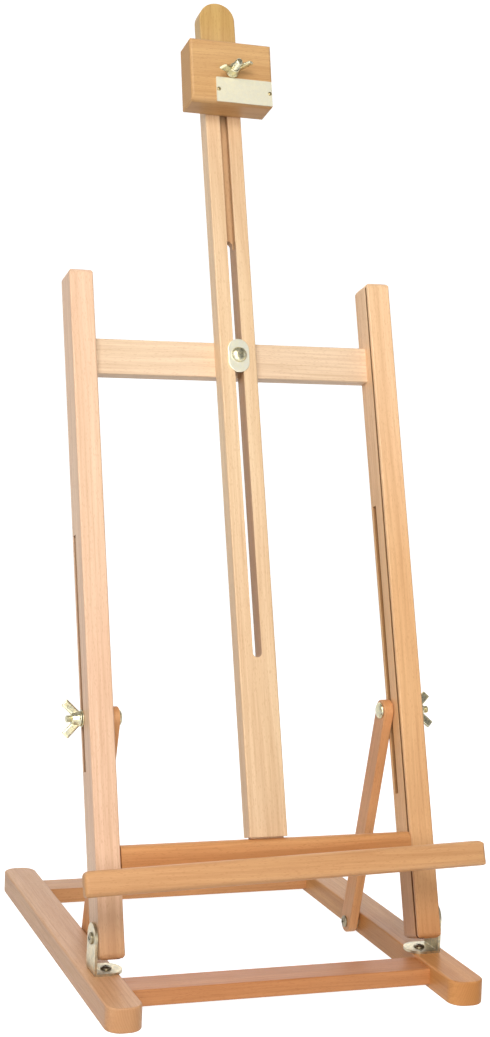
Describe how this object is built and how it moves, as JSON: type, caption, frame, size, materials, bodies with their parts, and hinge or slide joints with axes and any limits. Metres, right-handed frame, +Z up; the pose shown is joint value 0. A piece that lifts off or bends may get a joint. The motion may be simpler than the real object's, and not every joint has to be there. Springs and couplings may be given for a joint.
{
  "type": "tabletop easel",
  "caption": "Wooden tabletop H-frame easel: leaning frame hinged on a flat base, prop stays in slotted posts, sliding mast with canvas ledge, top clamp block and wing-nut locks.",
  "frame": {"origin": "centre of the easel's footprint box, at table level", "axes": "+X to the right as the artist faces the easel, +Y away from the artist (the frame leans this way), +Z up"},
  "size_m": [0.3262, 0.367, 0.7967],
  "materials": {
    "upper_beech": "pale beech, thin satin oil",
    "base_beech": "warm beech, thin satin oil",
    "clamp_beech": "golden beech, thin satin oil",
    "dowel_beech": "raw beech dowel",
    "yellow_zinc_steel": "yellow zinc-plated steel",
    "blank_plate": "polished brass, blank",
    "brass_pins": "polished brass"
  },
  "bodies": {
    "base": {"left_foot": "base_beech", "right_foot": "base_beech", "front_cross_rail": "base_beech", "rear_cross_rail": "base_beech", "rail_dowels": "dowel_beech", "left_hinge_bracket": "yellow_zinc_steel", "right_hinge_bracket": "yellow_zinc_steel", "bracket_screws": "yellow_zinc_steel", "stay_foot_screws": "yellow_zinc_steel", "stay_spacer_washers": "yellow_zinc_steel"},
    "leaning_frame": {"left_post": "upper_beech", "right_post": "upper_beech", "top_crossbar": "upper_beech", "crossbar_dowels": "dowel_beech", "left_pivot_screw": "yellow_zinc_steel", "right_pivot_screw": "yellow_zinc_steel", "mast_lock_plate": "yellow_zinc_steel", "mast_lock_bolt": "yellow_zinc_steel", "mast_lock_washer": "yellow_zinc_steel"},
    "mast_nut": {"mast_lock_nut": "yellow_zinc_steel"},
    "carriage": {"mast": "upper_beech", "carriage_rail": "upper_beech", "ledge_board": "upper_beech", "tray_lip": "upper_beech", "ledge_screws": "yellow_zinc_steel", "lip_dowels": "dowel_beech"},
    "top_clamp": {"clamp_block": "clamp_beech", "clamp_bolt": "yellow_zinc_steel", "clamp_washer": "yellow_zinc_steel", "nameplate": "blank_plate", "nameplate_pins": "brass_pins"},
    "clamp_nut": {"clamp_wing_nut": "yellow_zinc_steel"},
    "left_stay_arm": {"left_stay": "base_beech", "left_stay_bolt_head": "yellow_zinc_steel"},
    "right_stay_arm": {"right_stay": "base_beech", "right_stay_bolt_head": "yellow_zinc_steel"},
    "left_lock": {"left_stay_bolt_end": "yellow_zinc_steel", "left_lock_washer": "yellow_zinc_steel"},
    "right_lock": {"right_stay_bolt_end": "yellow_zinc_steel", "right_lock_washer": "yellow_zinc_steel"},
    "left_nut": {"left_wing_nut": "yellow_zinc_steel"},
    "right_nut": {"right_wing_nut": "yellow_zinc_steel"}
  },
  "joints": [
    {"name": "frame_tilt", "type": "hinge", "parent": "base", "child": "leaning_frame", "pos_m": [0, -0.10405, 0.04578], "axis": [-1, 0, 0], "range_deg": [-16.7, 73.3]},
    {"name": "left_stay_swing", "type": "hinge", "parent": "base", "child": "left_stay_arm", "pos_m": [-0.117, 0.0045, 0.0095], "axis": [-1, 0, 0], "range_deg": [-22.2, 97.2]},
    {"name": "right_stay_swing", "type": "hinge", "parent": "base", "child": "right_stay_arm", "pos_m": [0.117, 0.0045, 0.0095], "axis": [-1, 0, 0], "range_deg": [-22.2, 97.2]},
    {"name": "left_lock_slide", "type": "slide", "parent": "leaning_frame", "child": "left_lock", "axis": [0, 0.2874, 0.9578], "range_m": [-0.0323, 0.141]},
    {"name": "right_lock_slide", "type": "slide", "parent": "leaning_frame", "child": "right_lock", "axis": [0, 0.2874, 0.9578], "range_m": [-0.0323, 0.141]},
    {"name": "left_nut_spin", "type": "hinge", "parent": "left_lock", "child": "left_nut", "pos_m": [-0.1431, -0.04907, 0.20469], "axis": [-1, 0, 0], "continuous": true},
    {"name": "right_nut_spin", "type": "hinge", "parent": "right_lock", "child": "right_nut", "pos_m": [0.1431, -0.04907, 0.20469], "axis": [1, 0, 0], "continuous": true},
    {"name": "carriage_slide", "type": "slide", "parent": "leaning_frame", "child": "carriage", "axis": [0, 0.2874, 0.9578], "range_m": [-0.045, 0.245]},
    {"name": "mast_nut_spin", "type": "hinge", "parent": "leaning_frame", "child": "mast_nut", "pos_m": [0, 0.0438, 0.48534], "axis": [0, 0.9578, -0.2874], "continuous": true},
    {"name": "clamp_slide", "type": "slide", "parent": "carriage", "child": "top_clamp", "axis": [0, 0.2874, 0.9578], "range_m": [-0.125, 0.01]},
    {"name": "clamp_nut_spin", "type": "hinge", "parent": "top_clamp", "child": "clamp_nut", "pos_m": [0, 0.05726, 0.73187], "axis": [0, -0.9578, 0.2874], "continuous": true}
  ],
  "couplings": [
    {"joint": "left_stay_swing", "follows": "frame_tilt", "ratio": 1.3237},
    {"joint": "right_stay_swing", "follows": "frame_tilt", "ratio": 1.3237},
    {"joint": "left_lock_slide", "follows": "frame_tilt", "m_per_rad": 0.11007},
    {"joint": "right_lock_slide", "follows": "frame_tilt", "m_per_rad": 0.11007}
  ]
}
